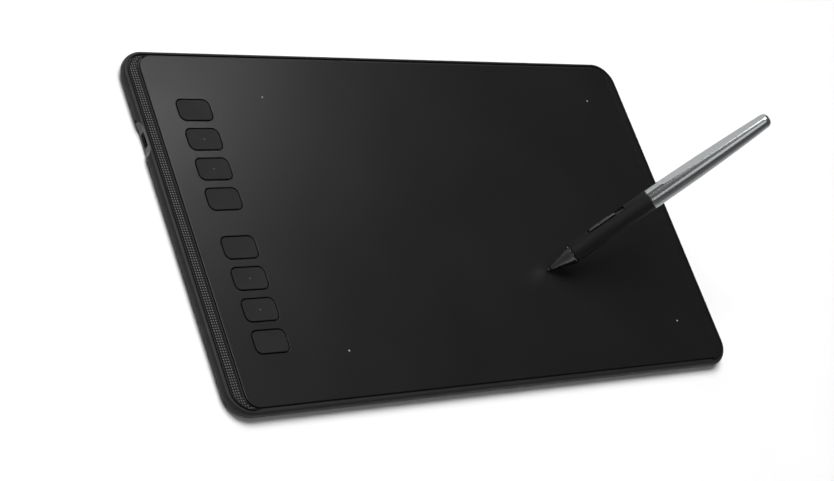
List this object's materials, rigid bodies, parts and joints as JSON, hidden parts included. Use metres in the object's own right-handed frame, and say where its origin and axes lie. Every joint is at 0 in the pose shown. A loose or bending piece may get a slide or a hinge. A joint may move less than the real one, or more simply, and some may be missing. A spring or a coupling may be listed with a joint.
{
  "type": "pen drawing tablet",
  "caption": "Slim screenless drawing tablet with a column of sprung express keys, a woven side strip and a micro-size USB inlet, with its battery-free pen resting nib-down on the drawing face.",
  "frame": {"origin": "under the middle of the tablet, at the foot of its rubber feet", "axes": "+X along the long side away from the express keys, +Y towards the top edge, +Z out of the drawing face"},
  "size_m": [0.3604, 0.2106, 0.1196],
  "materials": {
    "case": "fine moulded texture, dark grey",
    "panel": "matt, slightly rough drawing surface with four small light corner dots",
    "strip": "embossed woven texture, dark grey",
    "key_cap": "satin moulded, slightly darker than the panel",
    "reset_cap": "moulded",
    "foot": "matt rubber",
    "screw": "zinc plated",
    "socket": "tin plated stamping",
    "tongue": "moulded, black",
    "board": "green solder mask",
    "chip": "moulded package",
    "switch": "moulded switch body",
    "shield": "rolled sheet",
    "flex": "polyimide film",
    "cone": "glossy dark grey",
    "grip": "soft matt coating",
    "barrel": "glossy metallic grey lacquer",
    "pen_button": "satin black",
    "nib": "moulded acetal",
    "holder": "turned",
    "ferrite": "sintered",
    "winding": "enamelled copper wire"
  },
  "bodies": {
    "tablet": {"bottom_cover": "case", "inner_frame": "case", "drawing_panel": "panel", "woven_strip": "strip", "plain_side_strip": "case", "rubber_foot_1": "foot", "rubber_foot_2": "foot", "rubber_foot_3": "foot", "rubber_foot_4": "foot", "rubber_foot_5": "foot", "rubber_foot_6": "foot", "cover_screw_1": "screw", "cover_screw_2": "screw", "cover_screw_3": "screw", "cover_screw_4": "screw", "cover_screw_5": "screw", "cover_screw_6": "screw", "key_switch_1": "switch", "key_switch_2": "switch", "key_switch_3": "switch", "key_switch_4": "switch", "key_switch_5": "switch", "key_switch_6": "switch", "key_switch_7": "switch", "key_switch_8": "switch", "control_board": "board", "digitizer_board": "board", "shield_sheet": "shield", "controller_chip": "chip", "sensor_chip": "chip", "cable_connector": "tongue", "flat_cable": "flex", "usb_socket": "socket", "usb_tongue": "tongue", "reset_switch": "switch"},
    "key_1": {"express_key_1": "key_cap"},
    "key_2": {"express_key_2": "key_cap"},
    "key_3": {"express_key_3": "key_cap"},
    "key_4": {"express_key_4": "key_cap"},
    "key_5": {"express_key_5": "key_cap"},
    "key_6": {"express_key_6": "key_cap"},
    "key_7": {"express_key_7": "key_cap"},
    "key_8": {"express_key_8": "key_cap"},
    "reset_button": {"reset_plunger": "reset_cap"},
    "pen": {"pen_nose_cone": "cone", "pen_grip": "grip", "pen_barrel": "barrel", "ferrite_core": "ferrite", "antenna_coil": "winding", "pressure_sensor": "switch", "pen_circuit_board": "board", "pen_switch_front": "switch", "pen_switch_rear": "switch", "rocker_pin": "screw"},
    "side_button": {"pen_side_button": "pen_button"},
    "nib": {"pen_nib": "nib", "nib_holder": "holder"}
  },
  "joints": [
    {"name": "key_1_press", "type": "slide", "parent": "tablet", "child": "key_1", "axis": [0, 0, -1], "range_m": [0, 0.0006], "stiffness_N_per_m": 400, "springref_m": -0.0006},
    {"name": "key_2_press", "type": "slide", "parent": "tablet", "child": "key_2", "axis": [0, 0, -1], "range_m": [0, 0.0006], "stiffness_N_per_m": 400, "springref_m": -0.0006},
    {"name": "key_3_press", "type": "slide", "parent": "tablet", "child": "key_3", "axis": [0, 0, -1], "range_m": [0, 0.0006], "stiffness_N_per_m": 400, "springref_m": -0.0006},
    {"name": "key_4_press", "type": "slide", "parent": "tablet", "child": "key_4", "axis": [0, 0, -1], "range_m": [0, 0.0006], "stiffness_N_per_m": 400, "springref_m": -0.0006},
    {"name": "key_5_press", "type": "slide", "parent": "tablet", "child": "key_5", "axis": [0, 0, -1], "range_m": [0, 0.0006], "stiffness_N_per_m": 400, "springref_m": -0.0006},
    {"name": "key_6_press", "type": "slide", "parent": "tablet", "child": "key_6", "axis": [0, 0, -1], "range_m": [0, 0.0006], "stiffness_N_per_m": 400, "springref_m": -0.0006},
    {"name": "key_7_press", "type": "slide", "parent": "tablet", "child": "key_7", "axis": [0, 0, -1], "range_m": [0, 0.0006], "stiffness_N_per_m": 400, "springref_m": -0.0006},
    {"name": "key_8_press", "type": "slide", "parent": "tablet", "child": "key_8", "axis": [0, 0, -1], "range_m": [0, 0.0006], "stiffness_N_per_m": 400, "springref_m": -0.0006},
    {"name": "reset_press", "type": "slide", "parent": "tablet", "child": "reset_button", "axis": [1, 0, 0], "range_m": [0, 0.0003], "stiffness_N_per_m": 600, "springref_m": -0.0004},
    {"name": "pen_lift", "type": "slide", "parent": "tablet", "child": "pen", "axis": [0.6663, 0.2404, 0.7059], "range_m": [0, 0.12]},
    {"name": "side_button_tilt", "type": "hinge", "parent": "pen", "child": "side_button", "pos_m": [0.08415, -0.02487, 0.03899], "axis": [-0.414, -0.668, 0.6183], "range_deg": [-2.5, 2.5], "stiffness_Nm_per_rad": 0.08},
    {"name": "nib_press", "type": "slide", "parent": "pen", "child": "nib", "axis": [0.6663, 0.2404, 0.7059], "range_m": [0, 0.0006], "stiffness_N_per_m": 800, "springref_m": -0.0005}
  ]
}
